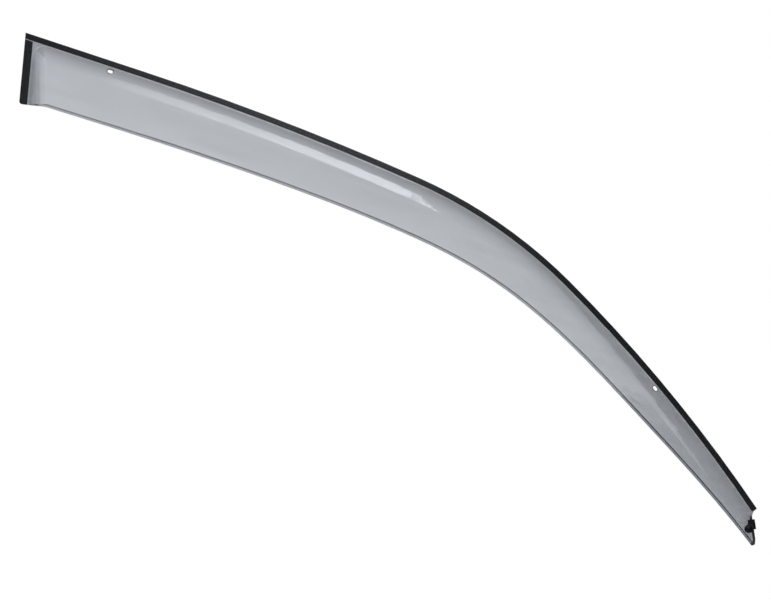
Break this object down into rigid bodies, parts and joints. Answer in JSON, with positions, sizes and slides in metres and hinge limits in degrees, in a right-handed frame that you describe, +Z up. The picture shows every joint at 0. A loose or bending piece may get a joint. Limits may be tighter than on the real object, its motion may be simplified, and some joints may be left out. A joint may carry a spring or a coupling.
{
  "type": "window rain deflector",
  "caption": "Smoke-tinted see-through visor for a car's front door window, curved from the door's rear post down the windscreen pillar to a pointed tip, fixed with foam tape and an edge clip.",
  "frame": {"origin": "on the tape's sticking face, in the middle of the tape's width and of the straight run at the rear", "axes": "+X forward along the car, +Y inward to the door frame, +Z up, as fitted to the door"},
  "size_m": [1.0237, 0.0229, 0.3109],
  "materials": {
    "smoke_acrylic": "smoke-tinted clear acrylic, polished",
    "foam_tape": "black foam, matt",
    "black_nylon": "black, satin"
  },
  "bodies": {
    "root": {"visor_panel": "smoke_acrylic", "top_tape": "foam_tape", "rear_tape": "foam_tape", "tip_clip": "black_nylon", "tip_rivet": "black_nylon"}
  },
  "joints": []
}
